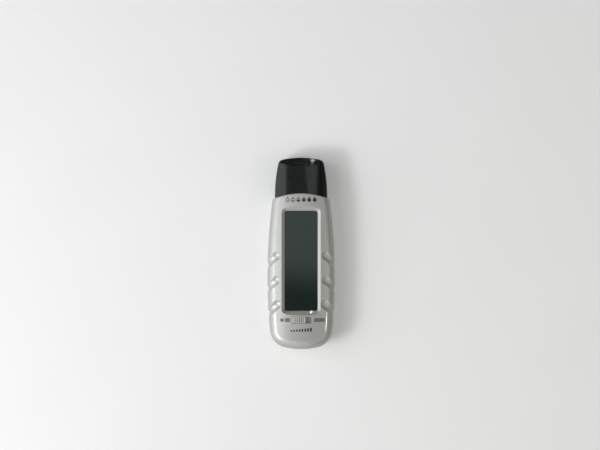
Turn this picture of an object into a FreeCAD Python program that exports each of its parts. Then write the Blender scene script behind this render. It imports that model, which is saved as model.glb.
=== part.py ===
import FreeCAD, Part
import math
import os
from FreeCAD import Vector

# A hand-held pin moisture meter for wood and building materials, in millimetres.
# It lies on its back. The origin is the centre of the face it rests on, +Y points
# to the electrode pins under their cap, and +Z points out of the display.
# "Left" is -X and "right" is +X, as seen from the front.

# ---- overall sizes ---------------------------------------------------------------------
OVERALL_LENGTH = 139.0
BODY_WIDTH = 48.8
BODY_DEPTH = 25.0
CAP_REACH = 26.0            # how far the cap stands out of the case, at the middle
WALL = 2.2
PARTING_Z = 11.5            # height of the joint between the two case halves

# ---- clearances ------------------------------------------------------------------------
SEAT_GAP = 0.1              # between pieces that sit still against each other
SLIDE_GAP = 0.25            # between pieces that slide on each other
PILOT_GAP = 0.05            # between a screw or stud and its hole

# ---- outline of the case, seen from the front ------------------------------------------
SIDE_RADIUS = 430.0
END_RADIUS = 52.0
END_CORNER_RADIUS = 13.5
HEAD_ARC_RADIUS = 53.0      # the edge that the cap meets
CASE_BOTTOM_Y = -OVERALL_LENGTH / 2
CAP_TIP_Y = OVERALL_LENGTH / 2
HEAD_ARC_Y = CAP_TIP_Y - CAP_REACH
WIDEST_Y = CASE_BOTTOM_Y + 52.5
BLANK_Y = HEAD_ARC_Y + 16.0  # the case is made too long, then trimmed to the arc

# ---- section of the case ---------------------------------------------------------------
CROWN_RADIUS = 70.0
SHOULDER_RADIUS = 7.0
BACK_EDGE_RADIUS = 4.5
HEAD_EDGE_RADIUS = 0.8
SEAM_DEPTH = 0.35
SEAM_HALF_HEIGHT = 0.2
LIP_THICKNESS = 0.7
LIP_HEIGHT = 1.5

# ---- finger grooves on the two sides ---------------------------------------------------
GROOVE_TUBE_RADIUS = 5.0
GROOVE_DEPTH = 0.9
GROOVE_SLANT = math.radians(49)
GROOVE_START_ANGLE = math.radians(82)
GROOVE_LOW_Z = 5.0
GROOVE_TOP_Y = WIDEST_Y + 15.2
GROOVE_PITCH = 17.5
GROOVE_COUNT = 3

# ---- window ----------------------------------------------------------------------------
WINDOW_WIDTH = 24.0
WINDOW_LOW_Y = CASE_BOTTOM_Y + 28.0
WINDOW_HIGH_Y = HEAD_ARC_Y - 12.6
WINDOW_LENGTH = WINDOW_HIGH_Y - WINDOW_LOW_Y
WINDOW_Y = (WINDOW_LOW_Y + WINDOW_HIGH_Y) / 2
WINDOW_CORNER = 1.7
LENS_FACE_Z = BODY_DEPTH - 3.0
LENS_THICKNESS = 1.2
BEZEL_SLOPE_X = 1.35        # sideways run of the bezel for each unit of height
BEZEL_SLOPE_Y = 1.05
LENS_LEDGE = 1.0
FRAME_WALL = 2.4
LEDGE_THICKNESS = 0.8

# ---- display stack, from the lens down -------------------------------------------------
POLARISER_THICKNESS = 0.2
GLASS_THICKNESS = 0.7
UPPER_GLASS_WIDTH = WINDOW_WIDTH + 3.2
LOWER_GLASS_WIDTH = UPPER_GLASS_WIDTH - 3.6
GLASS_LENGTH = WINDOW_LENGTH + 3.6
POLARISER_MARGIN = 0.6
ZEBRA_WIDTH = 1.2
ZEBRA_HEIGHT = 2.5
ZEBRA_LENGTH = GLASS_LENGTH - 6.0
HOLDER_WALL = 1.0
HOLDER_FLOOR_GAP = 0.1

FRAME_BOTTOM_Z = LENS_FACE_Z - LENS_THICKNESS - LEDGE_THICKNESS
DISPLAY_TOP_Z = FRAME_BOTTOM_Z - SEAT_GAP
UPPER_GLASS_Z = DISPLAY_TOP_Z - POLARISER_THICKNESS - GLASS_THICKNESS
LOWER_GLASS_Z = UPPER_GLASS_Z - GLASS_THICKNESS
DISPLAY_BOTTOM_Z = LOWER_GLASS_Z - POLARISER_THICKNESS

# ---- circuit board ---------------------------------------------------------------------
BOARD_TOP_Z = UPPER_GLASS_Z - ZEBRA_HEIGHT
BOARD_THICKNESS = 1.2
BOARD_BOTTOM_Z = BOARD_TOP_Z - BOARD_THICKNESS
BOARD_WIDTH = BODY_WIDTH - 10.8
BOARD_SHOULDER_Y = (CASE_BOTTOM_Y + 24.0, HEAD_ARC_Y - 11.0)
BOARD_TONGUE_WIDTH = 27.2
BOARD_END_Y = (CASE_BOTTOM_Y + 16.0, HEAD_ARC_Y - 7.9)
BOARD_SCREW_X = BOARD_WIDTH / 2 - 2.0
BOARD_SCREW_Y = (HEAD_ARC_Y - 23.5, CASE_BOTTOM_Y + 41.5)
BOARD_BOSS_RADIUS = 1.9
BOARD_SCREW_RADIUS = 0.8
BOARD_SCREW_LENGTH = 4.5
BOARD_SCREW_HEAD_RADIUS = 1.6
BOARD_SCREW_HEAD_HEIGHT = 1.1
BOARD_HOLE_RADIUS = 1.0

# ---- case screws -----------------------------------------------------------------------
CASE_SCREW_PLACES = (
    (BODY_WIDTH / 2 - 7.4, HEAD_ARC_Y - 7.1),
    (BODY_WIDTH / 2 - 7.0, CASE_BOTTOM_Y + 20.0),
)
CASE_SCREW_RADIUS = 1.1
CASE_SCREW_HEAD_RADIUS = 1.85
CASE_SCREW_HEAD_HEIGHT = 1.4
CASE_SCREW_LENGTH = 12.0
CASE_SCREW_SEAT_Z = 6.5
CASE_BOSS_RADIUS = 2.4
CASE_POST_RADIUS = 2.6
COUNTERBORE_RADIUS = 2.0

CROSS_SHARE = 0.6           # size of a head's cross recess, as a share of the head

# ---- slide switch ----------------------------------------------------------------------
SWITCH_Y = CASE_BOTTOM_Y + 21.6
SWITCH_SLOT_LENGTH = 14.8
SWITCH_SLOT_WIDTH = 4.9
SWITCH_SLOT_CORNER = 1.0
SWITCH_COLLAR_WALL = 1.2
SWITCH_TRAVEL = 4.0
KNOB_GAP = 0.2
KNOB_SINK = 0.35            # how far the knob's crown lies below the case's crown
KNOB_RIBS = 6
KNOB_RIB_PITCH = 1.35
KNOB_RIB_WIDTH = 0.55
KNOB_RIB_DEPTH = 0.4
KNOB_RIB_MARGIN = 0.35      # plain border at the two ends of each rib
SWITCH_FRAME_LENGTH = 17.0
SWITCH_FRAME_WIDTH = 6.0
SWITCH_FRAME_SHEET = 0.4
SWITCH_FRAME_TOP_Z = 21.3
SWITCH_BASE_HEIGHT = 1.0
SLIDER_HEIGHT = 1.8
SLIDER_LENGTH = 6.0
SLIDER_WIDTH = 4.6
STEM_LENGTH = 2.4
STEM_WIDTH = 1.8
STEM_REACH = 1.8            # how far the stem goes up into the knob
TERMINAL_SIZE = 0.6
TERMINAL_PITCH = 2.8
TERMINAL_ROW = 1.6
TERMINAL_DROP = 0.8         # below the board
TERMINAL_HOLE_RADIUS = 0.5

# ---- batteries and their contacts ------------------------------------------------------
CELL_RADIUS = 5.25
CELL_LENGTH = 44.5
CELL_NUB_RADIUS = 1.9
CELL_NUB_HEIGHT = 1.0
CELL_END_ROUND = 0.5
CELL_X = 5.6
CELL_DOOR_GAP = 0.35
CELL_ROOF_GAP = 0.3
BAY_HALF_WIDTH = 11.4
BAY_WALL = 1.2
BAY_ROOF = 1.0
BAY_LOW_Y = CASE_BOTTOM_Y + 14.5
CONTACT_SHEET = 0.4
SPRING_LENGTH = 5.2
SPRING_WIRE_RADIUS = 0.3
SPRING_BASE_RADIUS = 3.6
SPRING_TIP_RADIUS = 2.2
SPRING_TURNS = 4.5
CONTACT_HALF_WIDTH = 4.4
CONTACT_LOW_Z = 3.4
TAIL_WIDTH = 3.0
TAIL_FOOT = 2.6
TAIL_BOARD_GAP = 0.05
BAY_HIGH_Y = BAY_LOW_Y + CELL_LENGTH + SPRING_LENGTH + 2 * CONTACT_SHEET

# ---- battery door ----------------------------------------------------------------------
DOOR_HALF_WIDTH = 12.4
DOOR_FLANGE = 1.0
DOOR_LIP_Z = 0.95           # top of the case's lip that carries the door's flange
DOOR_LIP_GAP = 0.1
DOOR_HIGH_Y = BAY_HIGH_Y + 2.5
DOOR_END_Y = CASE_BOTTOM_Y + 7.5    # below this the door widens and wraps round the end
DOOR_END_HALF_WIDTH = 14.2
DOOR_END_TOP_Z = 7.0
DOOR_THICKNESS = WALL - SLIDE_GAP
DOOR_EDGE_ROUND = 0.3
DOOR_RIDGES = 6
DOOR_RIDGE_PITCH = 1.8
DOOR_RIDGE_WIDTH = 0.9
DOOR_RIDGE_DEPTH = 0.5
DOOR_RIDGE_LENGTH = 14.0
DOOR_RIDGE_Y = CASE_BOTTOM_Y + 19.5
DOOR_ARROW_Y = DOOR_RIDGE_Y + 8.0
DOOR_ARROW_SIZE = 5.0
BULKHEAD_THICKNESS = 1.1
BULKHEAD_MARGIN = 1.0
CELL_Z = DOOR_THICKNESS + CELL_DOOR_GAP + CELL_RADIUS
BAY_ROOF_Z = CELL_Z + CELL_RADIUS + CELL_ROOF_GAP

# ---- cap -------------------------------------------------------------------------------
CAP_HALF_WIDTH = BODY_WIDTH / 2 - 5.4
CAP_STRAIGHT_Y = HEAD_ARC_Y - 1.5   # the cap's sides start to curve in here
CAP_SIDE_RADIUS = 111.0
CAP_TIP_RADIUS = 60.0
CAP_TIP_CORNER = 3.6
CAP_WALL = 1.7
CAP_FRONT_DROP = 1.3        # cap's crown below the case's crown, where they meet
CAP_BACK_RISE = 1.3
CAP_FRONT_SLOPE = math.radians(3.0)
CAP_BACK_SLOPE = math.radians(2.5)
CAP_CROWN_RADIUS = 60.0
CAP_FRONT_EDGE_RADIUS = 3.3
CAP_BACK_EDGE_RADIUS = 3.1
CAP_FACET_LENGTH = 6.2
CAP_FACET_ANGLE = math.radians(40)
CAP_FACET_ROUND = 0.9
CAP_BLANK_Y = HEAD_ARC_Y - 9.5
CAP_TIP_WALL = 2.0

# ---- pin head and electrode pins -------------------------------------------------------
PIN_X = 10.0
PIN_Z = 12.4
HEAD_NECK_HALF_WIDTH = CAP_HALF_WIDTH - 6.1
HEAD_NECK_Z = (6.0, 18.8)
HEAD_FLANGE_HALF_WIDTH = HEAD_NECK_HALF_WIDTH + 1.0
HEAD_FLANGE_Z = (4.8, 20.0)
HEAD_FLANGE_Y = (HEAD_ARC_Y - 6.9, HEAD_ARC_Y - 5.3)
HEAD_FACE_Y = HEAD_ARC_Y + 8.8
HEAD_FACE_ROUND = 0.8
HEAD_CASE_GAP = 0.15
HEAD_LINK = 0.6             # how far the nose and the neck run into each other
BUSH_RADIUS = 2.0
BUSH_LENGTH = 7.5
BUSH_GROOVE = 0.25
BUSH_GROOVES = 3
STUD_RADIUS = 1.2
STUD_BACK_Y = HEAD_FLANGE_Y[0] - 2.2
PIN_THREAD_RADIUS = 1.0
PIN_THREAD_LENGTH = 5.5
PIN_COLLAR_RADIUS = 2.2
PIN_COLLAR_LENGTH = 2.5
PIN_FLUTES = 12
PIN_FLUTE_RADIUS = 0.3
NEEDLE_RADIUS = 0.8
NEEDLE_LENGTH = 10.2
NEEDLE_POINT = 2.4
NEEDLE_TIP_RADIUS = 0.08
TAG_SHEET = 0.4
TAG_WIDTH = 2.6
TAG_FOOT = 1.9
NUT_FLATS = 4.0
NUT_THICKNESS = 1.5

# ---- parts on the back of the board ----------------------------------------------------
CHIP_Y = HEAD_ARC_Y - 26.5
CHIP_RADIUS = 6.5
CHIP_HEIGHT = 2.2
AMPLIFIER_SIZE = (5.0, 4.0, 1.5)
AMPLIFIER_PLACE = (0.0, CHIP_Y - 13.0)
AMPLIFIER_LEGS = 4
LEG_PITCH = 1.27
LEG_WIDTH = 0.45
LEG_REACH = 1.1
LEG_HEIGHT = 0.6
TRIMMER_SIZE = 6.6
TRIMMER_HEIGHT = 4.8
TRIMMER_PLACES = ((-12.5, CHIP_Y - 10.5), (12.5, CHIP_Y - 10.5))
TRIMMER_SCREW_RADIUS = 1.6
TRIMMER_SLOT = 0.6
CRYSTAL_LENGTH = 8.0
CRYSTAL_RADIUS = 1.5
CRYSTAL_PLACE = (10.5, CHIP_Y + 7.5)
CAPACITOR_RADIUS = 2.5
CAPACITOR_HEIGHT = 7.0
CAPACITOR_PLACE = (-12.5, CHIP_Y + 7.5)
CAPACITOR_ROUND = 0.4
CHIP_RESISTOR_SIZE = (2.0, 1.25, 0.5)
RESISTOR_ROW = (-7.5, CHIP_Y - 17.0, 3.0, 6)     # first x, y, pitch, count
CERAMIC_SIZE = (1.25, 2.0, 0.9)
CERAMIC_ROW = (-6.0, CHIP_Y + 11.5, 3.0, 5)


# ---- small helpers ---------------------------------------------------------------------
def box(x_span, y_span, z_span):
    size = [high - low for low, high in (x_span, y_span, z_span)]
    return Part.makeBox(*size, Vector(x_span[0], y_span[0], z_span[0]))


def slab(half_width, y_span, z_span):
    return box((-half_width, half_width), y_span, z_span)


def rod_z(radius, place, z_span):
    low, high = z_span
    return Part.makeCylinder(radius, high - low, Vector(place[0], place[1], low))


def rod_y(radius, x, z, y_span):
    low, high = y_span
    return Part.makeCylinder(radius, high - low, Vector(x, low, z), Vector(0, 1, 0))


def mirrored(shape):
    return shape.mirror(Vector(0, 0, 0), Vector(1, 0, 0))


def joined(shapes):
    whole = shapes[0]
    for shape in shapes[1:]:
        whole = whole.fuse(shape)
    return whole.removeSplitter()


def rounded_rectangle(width, length, corner, centre):
    """A closed wire in a plane of constant Z, centred on the point given."""
    x, y = width / 2, length / 2
    edges = []
    for turn in range(4):
        half_u, half_v = (x, y) if turn % 2 == 0 else (y, x)
        spot = Vector(half_u - corner, half_v - corner, 0)
        arc = Part.Arc(Part.Circle(spot, Vector(0, 0, 1), corner), 0, math.pi / 2).toShape()
        line = Part.makeLine(Vector(half_u - corner, half_v, 0), Vector(-half_u + corner, half_v, 0))
        for edge in (arc, line):
            edge.rotate(Vector(0, 0, 0), Vector(0, 0, 1), 90 * turn)
            edges.append(edge)
    wire = Part.Wire(edges)
    wire.translate(centre)
    return wire


def plate(width, length, corner, place, z_span):
    """A flat plate with rounded corners, between two heights."""
    wire = rounded_rectangle(width, length, corner, Vector(place[0], place[1], z_span[0]))
    return Part.Face(wire).extrude(Vector(0, 0, z_span[1] - z_span[0]))


# ---- outline geometry ------------------------------------------------------------------
def circle_meet(centre_a, radius_a, centre_b, radius_b, pick):
    """The crossing of two circles for which pick() is greatest."""
    dx, dy = centre_b[0] - centre_a[0], centre_b[1] - centre_a[1]
    apart = math.hypot(dx, dy)
    along = (radius_a**2 - radius_b**2 + apart**2) / (2 * apart)
    aside = math.sqrt(radius_a**2 - along**2)
    foot = (centre_a[0] + along * dx / apart, centre_a[1] + along * dy / apart)
    crossings = [
        (foot[0] + sign * aside * dy / apart, foot[1] - sign * aside * dx / apart)
        for sign in (-1, 1)
    ]
    return max(crossings, key=pick)


def reach(start, through, distance):
    """The point at a distance from start, on the line through another point."""
    apart = math.hypot(through[0] - start[0], through[1] - start[1])
    return tuple(s + (t - s) * distance / apart for s, t in zip(start, through))


def blended_arcs(side_centre, side_radius, end_centre, end_radius, corner_radius, sign, inset):
    """Half of a closed outline: a side arc, a corner arc and an end arc that meet
    smoothly. Sign is +1 for an end at high Y and -1 for one at low Y. It gives the
    three points of the corner arc, from the side to the end, for the right half."""
    centre = circle_meet(
        side_centre,
        side_radius - corner_radius,
        end_centre,
        end_radius - corner_radius,
        lambda p: p[0] + sign * p[1],
    )
    on_side = reach(side_centre, centre, side_radius - inset)
    on_end = reach(end_centre, centre, end_radius - inset)
    middle = ((on_side[0] + on_end[0]) / 2, (on_side[1] + on_end[1]) / 2)
    return on_side, reach(centre, middle, corner_radius - inset), on_end


def arc_edge(points, flip=1):
    return Part.Arc(*[Vector(flip * x, y, 0) for x, y in points]).toShape()


def side_point(centre, radius, y):
    return centre[0] + math.sqrt(radius**2 - (y - centre[1]) ** 2), y


def half_outline(side_centre, side_radius, corner, open_y, flip):
    """Edges of one half of an outline, from its open end to the end arc."""
    start = side_point(side_centre, side_radius, open_y)
    middle = side_point(side_centre, side_radius, (open_y + corner[0][1]) / 2)
    return [arc_edge((start, middle, corner[0]), flip), arc_edge(corner, flip)]


def outline_face(side_centre, side_radius, corner, end_y, open_y):
    """A face bounded by two half outlines, the end arc and a straight open end."""
    right = half_outline(side_centre, side_radius, corner, open_y, 1)
    left = half_outline(side_centre, side_radius, corner, open_y, -1)
    end_x, end_corner_y = corner[2]
    end = arc_edge(((-end_x, end_corner_y), (0, end_y), (end_x, end_corner_y)))
    open_x = side_point(side_centre, side_radius, open_y)[0]
    lid = Part.makeLine(Vector(-open_x, open_y, 0), Vector(open_x, open_y, 0))
    return Part.Face(Part.Wire(Part.__sortEdges__([*right, end, *left, lid])))


def crown_cylinder(radius, top_z, y_span):
    """A cylinder along Y whose highest line is at top_z, with its seam underneath."""
    body = rod_y(radius, 0, top_z - radius, y_span)
    body.rotate(Vector(0, 0, top_z - radius), Vector(0, 1, 0), 180)
    return body


def rim_edges(form, open_y, z_span):
    """Edges that lie wholly between two heights, leaving out those of the open end."""
    return [
        edge
        for edge in form.Edges
        if abs(edge.CenterOfMass.y - open_y) > SEAT_GAP
        and z_span[0] < edge.BoundBox.ZMin
        and edge.BoundBox.ZMax < z_span[1]
    ]


# ---- the case's outer form -------------------------------------------------------------
def case_blank(inset):
    """The closed form of the whole case, drawn in by inset, before its head end is cut."""
    side_centre = (BODY_WIDTH / 2 - SIDE_RADIUS, WIDEST_Y)
    end_centre = (0, CASE_BOTTOM_Y + END_RADIUS)
    corner = blended_arcs(
        side_centre, SIDE_RADIUS, end_centre, END_RADIUS, END_CORNER_RADIUS, -1, inset
    )
    face = outline_face(
        side_centre, SIDE_RADIUS - inset, corner, CASE_BOTTOM_Y + inset, BLANK_Y
    )
    face.translate(Vector(0, 0, inset))
    blank = face.extrude(Vector(0, 0, BODY_DEPTH))
    crown = crown_cylinder(
        CROWN_RADIUS - inset, BODY_DEPTH - inset, (-OVERALL_LENGTH, OVERALL_LENGTH)
    )
    blank = blank.common(crown)
    front = rim_edges(blank, BLANK_Y, (BODY_DEPTH / 2, 2 * BODY_DEPTH))
    blank = blank.makeFillet(SHOULDER_RADIUS - inset, front)
    back = rim_edges(blank, BLANK_Y, (-BODY_DEPTH, BODY_DEPTH / 2))
    return blank.makeFillet(BACK_EDGE_RADIUS - inset, back)


def beyond_head_arc(inset):
    """Everything past the case's head end, with the arc drawn in by inset."""
    radius = HEAD_ARC_RADIUS - inset
    centre_y = HEAD_ARC_Y - HEAD_ARC_RADIUS
    half = BODY_WIDTH / 2 + WALL
    edge_y = centre_y + math.sqrt(radius**2 - half**2)
    far_y = OVERALL_LENGTH
    arc = arc_edge(((-half, edge_y), (0, centre_y + radius), (half, edge_y)))
    corners = [(half, edge_y), (half, far_y), (-half, far_y), (-half, edge_y)]
    lines = [
        Part.makeLine(Vector(*a, 0), Vector(*b, 0)) for a, b in zip(corners, corners[1:])
    ]
    face = Part.Face(Part.Wire([arc, *lines]))
    face.translate(Vector(0, 0, -BODY_DEPTH))
    return face.extrude(Vector(0, 0, 3 * BODY_DEPTH))


def case_form(inset):
    return case_blank(inset).cut(beyond_head_arc(inset))


def half_width_at(y):
    """Half the case's width at a place along its side."""
    return side_point((BODY_WIDTH / 2 - SIDE_RADIUS, WIDEST_Y), SIDE_RADIUS, y)[0]


def shoulder_centre():
    """The middle of the shoulder's rounding, in section."""
    half = BODY_WIDTH / 2 - SHOULDER_RADIUS
    drop = math.sqrt((CROWN_RADIUS - SHOULDER_RADIUS) ** 2 - half**2)
    return Vector(half, 0, BODY_DEPTH - CROWN_RADIUS + drop)


def finger_groove(top_y):
    """The tool that cuts one slanting groove over the right shoulder. Its spine is the
    shoulder's own section along the slant, held off the surface, then runs down the side."""
    radius = SHOULDER_RADIUS + GROOVE_TUBE_RADIUS - GROOVE_DEPTH
    spine_slant = math.atan(math.tan(GROOVE_SLANT) * SHOULDER_RADIUS / radius)
    hub = shoulder_centre()
    outward = Vector(math.cos(spine_slant), -math.sin(spine_slant), 0)
    ellipse = Part.Ellipse(
        hub + outward * (radius / math.cos(spine_slant)), hub + Vector(0, 0, radius), hub
    )
    start = ellipse.value(GROOVE_START_ANGLE)
    side = ellipse.value(0)
    low = Vector(side.x, side.y, GROOVE_LOW_Z)
    spine = Part.Wire([Part.makeLine(low, side), ellipse.toShape(0, GROOVE_START_ANGLE)])
    ring = Part.Wire(Part.makeCircle(GROOVE_TUBE_RADIUS, low, Vector(0, 0, 1)))
    tube = spine.makePipeShell([ring], True, True)
    tool = tube.fuse([Part.makeSphere(GROOVE_TUBE_RADIUS, p) for p in (start, low)])
    drop = start.y - side.y
    inward = BODY_WIDTH / 2 - half_width_at(top_y - drop)
    tool.translate(Vector(-inward, top_y - start.y, 0))
    return tool


def case_outside():
    form = case_form(0)
    head_faces = [f for f in form.Faces if is_head_face(f)]
    form = form.makeFillet(HEAD_EDGE_RADIUS, head_faces[0].Edges)
    for count in range(GROOVE_COUNT):
        groove = finger_groove(GROOVE_TOP_Y - count * GROOVE_PITCH)
        form = form.cut([groove, mirrored(groove)])
    seam = case_form(0).cut(case_form(SEAM_DEPTH))
    band = slab(BODY_WIDTH, (-OVERALL_LENGTH, OVERALL_LENGTH), seam_span())
    return form.cut(seam.common(band))


def is_head_face(face):
    surface = face.Surface
    return (
        isinstance(surface, Part.Cylinder)
        and abs(surface.Radius - HEAD_ARC_RADIUS) < SEAT_GAP
        and face.CenterOfMass.y > 0
    )


def seam_span():
    return PARTING_Z - SEAM_HALF_HEIGHT, PARTING_Z + SEAM_HALF_HEIGHT


def case_band(low_z, high_z):
    return slab(BODY_WIDTH, (-OVERALL_LENGTH, OVERALL_LENGTH), (low_z, high_z))


# ---- front case ------------------------------------------------------------------------
def bezel_cut():
    """The sloping sides of the window recess, from the lens face out through the crown."""
    rise = LENS_THICKNESS + BODY_DEPTH - LENS_FACE_Z
    wires = [
        rounded_rectangle(
            WINDOW_WIDTH + 2 * BEZEL_SLOPE_X * up,
            WINDOW_LENGTH + 2 * BEZEL_SLOPE_Y * up,
            WINDOW_CORNER + BEZEL_SLOPE_Y * up,
            Vector(0, WINDOW_Y, LENS_FACE_Z + up),
        )
        for up in (0, rise)
    ]
    return Part.makeLoft(wires, True, True)


def window_cut():
    pocket_z = (LENS_FACE_Z - LENS_THICKNESS, LENS_FACE_Z)
    pocket = plate(WINDOW_WIDTH, WINDOW_LENGTH, WINDOW_CORNER, (0, WINDOW_Y), pocket_z)
    view = plate(
        WINDOW_WIDTH - 2 * LENS_LEDGE,
        WINDOW_LENGTH - 2 * LENS_LEDGE,
        WINDOW_CORNER - LENS_LEDGE / 2,
        (0, WINDOW_Y),
        (FRAME_BOTTOM_Z, LENS_FACE_Z),
    )
    return [bezel_cut(), pocket, view]


def window_frame():
    return plate(
        WINDOW_WIDTH + 2 * FRAME_WALL,
        WINDOW_LENGTH + 2 * FRAME_WALL,
        WINDOW_CORNER + FRAME_WALL,
        (0, WINDOW_Y),
        (FRAME_BOTTOM_Z, BODY_DEPTH),
    )


def switch_collar():
    grow = 2 * SWITCH_COLLAR_WALL
    return plate(
        SWITCH_SLOT_LENGTH + grow,
        SWITCH_SLOT_WIDTH + grow,
        SWITCH_SLOT_CORNER + SWITCH_COLLAR_WALL,
        (0, SWITCH_Y),
        (SWITCH_FRAME_TOP_Z + SEAT_GAP, BODY_DEPTH),
    )


def switch_slot():
    return plate(
        SWITCH_SLOT_LENGTH,
        SWITCH_SLOT_WIDTH,
        SWITCH_SLOT_CORNER,
        (0, SWITCH_Y),
        (SWITCH_FRAME_TOP_Z, BODY_DEPTH + WALL),
    )


def board_screw_places():
    return [(side * BOARD_SCREW_X, y) for side in (-1, 1) for y in BOARD_SCREW_Y]


def case_screw_places():
    return [(side * x, y) for side in (-1, 1) for x, y in CASE_SCREW_PLACES]


def front_bosses():
    board = [
        rod_z(BOARD_BOSS_RADIUS, p, (BOARD_TOP_Z, BODY_DEPTH)) for p in board_screw_places()
    ]
    case = [
        rod_z(CASE_BOSS_RADIUS, p, (PARTING_Z + SEAT_GAP, BODY_DEPTH))
        for p in case_screw_places()
    ]
    return board + case


def front_pilots():
    board_top = BOARD_BOTTOM_Z + BOARD_SCREW_LENGTH + SEAT_GAP
    case_top = CASE_SCREW_SEAT_Z + CASE_SCREW_LENGTH + SEAT_GAP
    board = [
        rod_z(BOARD_SCREW_RADIUS + PILOT_GAP, p, (BOARD_TOP_Z, board_top))
        for p in board_screw_places()
    ]
    case = [
        rod_z(CASE_SCREW_RADIUS + PILOT_GAP, p, (PARTING_Z, case_top))
        for p in case_screw_places()
    ]
    return board + case


def neck_opening():
    span_z = (HEAD_NECK_Z[0] - HEAD_CASE_GAP, HEAD_NECK_Z[1] + HEAD_CASE_GAP)
    return slab(HEAD_NECK_HALF_WIDTH + HEAD_CASE_GAP, (HEAD_FLANGE_Y[1], CAP_TIP_Y), span_z)


def lip_ring(clearance):
    """The step that locates one case half in the other, grown outwards by a clearance."""
    outer = case_form(WALL - LIP_THICKNESS - clearance)
    ring = outer.cut(case_form(WALL))
    return ring.common(case_band(PARTING_Z, PARTING_Z + LIP_HEIGHT + clearance))


def make_front_case(outside, inside):
    upper = case_band(PARTING_Z, 2 * BODY_DEPTH)
    shell = outside.cut(inside).common(upper)
    inner = joined([window_frame(), switch_collar(), *front_bosses()]).common(case_form(WALL / 2))
    shell = joined([shell.cut(lip_ring(SEAT_GAP)), *inner.Solids])
    return shell.cut([*window_cut(), switch_slot(), *front_pilots(), neck_opening()])


# ---- back case -------------------------------------------------------------------------
def bay_walls():
    low_y, high_y = BAY_LOW_Y - BAY_WALL, BAY_HIGH_Y + BAY_WALL
    return slab(BAY_HALF_WIDTH + BAY_WALL, (low_y, high_y), (WALL, BAY_ROOF_Z + BAY_ROOF))


def bay_hollow():
    return slab(BAY_HALF_WIDTH, (BAY_LOW_Y, BAY_HIGH_Y), (0, BAY_ROOF_Z))


def bulkhead():
    """A second skin just inside the door, which carries it and closes the case behind it."""
    skin = case_form(WALL).cut(case_form(WALL + BULKHEAD_THICKNESS))
    reach_x = DOOR_END_HALF_WIDTH + BULKHEAD_MARGIN
    high_y = DOOR_HIGH_Y + BULKHEAD_MARGIN
    span_z = (0, DOOR_END_TOP_Z + BULKHEAD_MARGIN)
    return skin.common(slab(reach_x, (-OVERALL_LENGTH, high_y), span_z))


def door_way():
    """The space in the case's skin that the door and its flange fill, with their gaps."""
    gap = SLIDE_GAP
    length = (DOOR_END_Y - gap, DOOR_HIGH_Y + gap)
    main = slab(DOOR_HALF_WIDTH + gap, length, (-WALL, DOOR_LIP_Z + DOOR_LIP_GAP))
    flange = slab(DOOR_HALF_WIDTH + DOOR_FLANGE + gap, length, (DOOR_LIP_Z, WALL))
    end_box = slab(
        DOOR_END_HALF_WIDTH + gap,
        (-OVERALL_LENGTH, DOOR_END_Y + gap),
        (-WALL, DOOR_END_TOP_Z + gap),
    )
    end = end_box.cut(case_form(WALL))
    return [main, flange, end]


def back_posts():
    return [rod_z(CASE_POST_RADIUS, p, (0, PARTING_Z)) for p in case_screw_places()]


def back_screw_holes():
    tools = []
    for place in case_screw_places():
        tools.append(rod_z(COUNTERBORE_RADIUS, place, (-WALL, CASE_SCREW_SEAT_Z)))
        tools.append(rod_z(CASE_SCREW_RADIUS + SEAT_GAP, place, (0, PARTING_Z + SEAT_GAP)))
    return tools


def tail_slots():
    """Slots in the bay's roof for the tails of the two battery terminals."""
    slots = []
    for side in (-1, 1):
        middle = side * CELL_X
        half = TAIL_WIDTH / 2 + SEAT_GAP
        span_y = (BAY_HIGH_Y - CONTACT_SHEET - SEAT_GAP, BAY_HIGH_Y)
        slots.append(box((middle - half, middle + half), span_y, (CELL_Z, BODY_DEPTH)))
    return slots


def make_back_case(outside, inside):
    lower = case_band(-WALL, PARTING_Z)
    shell = outside.cut(inside).common(lower)
    inner = joined([bay_walls(), *back_posts()]).common(case_form(WALL / 2))
    boss_room = [
        rod_z(CASE_BOSS_RADIUS + SEAT_GAP, p, (PARTING_Z, BODY_DEPTH)) for p in case_screw_places()
    ]
    lip = lip_ring(0).cut(boss_room)
    shell = joined([shell, lip, *inner.Solids, bulkhead()])
    return shell.cut([bay_hollow(), *door_way(), *back_screw_holes(), *tail_slots(), neck_opening()])


# ---- battery door ----------------------------------------------------------------------
def make_battery_door():
    skin = case_form(0).cut(case_form(DOOR_THICKNESS))
    length = (DOOR_END_Y, DOOR_HIGH_Y)
    main = slab(DOOR_HALF_WIDTH, length, (0, DOOR_THICKNESS))
    flange_z = (DOOR_LIP_Z + DOOR_LIP_GAP, DOOR_THICKNESS)
    flange = slab(DOOR_HALF_WIDTH + DOOR_FLANGE, length, flange_z)
    end = slab(DOOR_END_HALF_WIDTH, (-OVERALL_LENGTH, DOOR_END_Y), (0, DOOR_END_TOP_Z))
    door = skin.common(joined([main, flange, end]))
    ridges = [
        plate(
            DOOR_RIDGE_LENGTH,
            DOOR_RIDGE_WIDTH,
            DOOR_RIDGE_WIDTH / 2 - PILOT_GAP,
            (0, DOOR_RIDGE_Y - count * DOOR_RIDGE_PITCH),
            (-DOOR_RIDGE_DEPTH, DOOR_RIDGE_DEPTH),
        )
        for count in range(DOOR_RIDGES)
    ]
    return door.cut([*ridges, door_arrow()])


def door_arrow():
    """A sunk triangle that points the way the door slides."""
    half = DOOR_ARROW_SIZE / 2
    low = -DOOR_RIDGE_DEPTH
    corners = [
        Vector(-half, DOOR_ARROW_Y, low),
        Vector(half, DOOR_ARROW_Y, low),
        Vector(0, DOOR_ARROW_Y - half, low),
    ]
    face = Part.Face(Part.makePolygon([*corners, corners[0]]))
    return face.extrude(Vector(0, 0, 2 * DOOR_RIDGE_DEPTH))


# ---- display ---------------------------------------------------------------------------
def centred_sheet(width, length, z_span):
    half = length / 2
    return slab(width / 2, (WINDOW_Y - half, WINDOW_Y + half), z_span)


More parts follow.
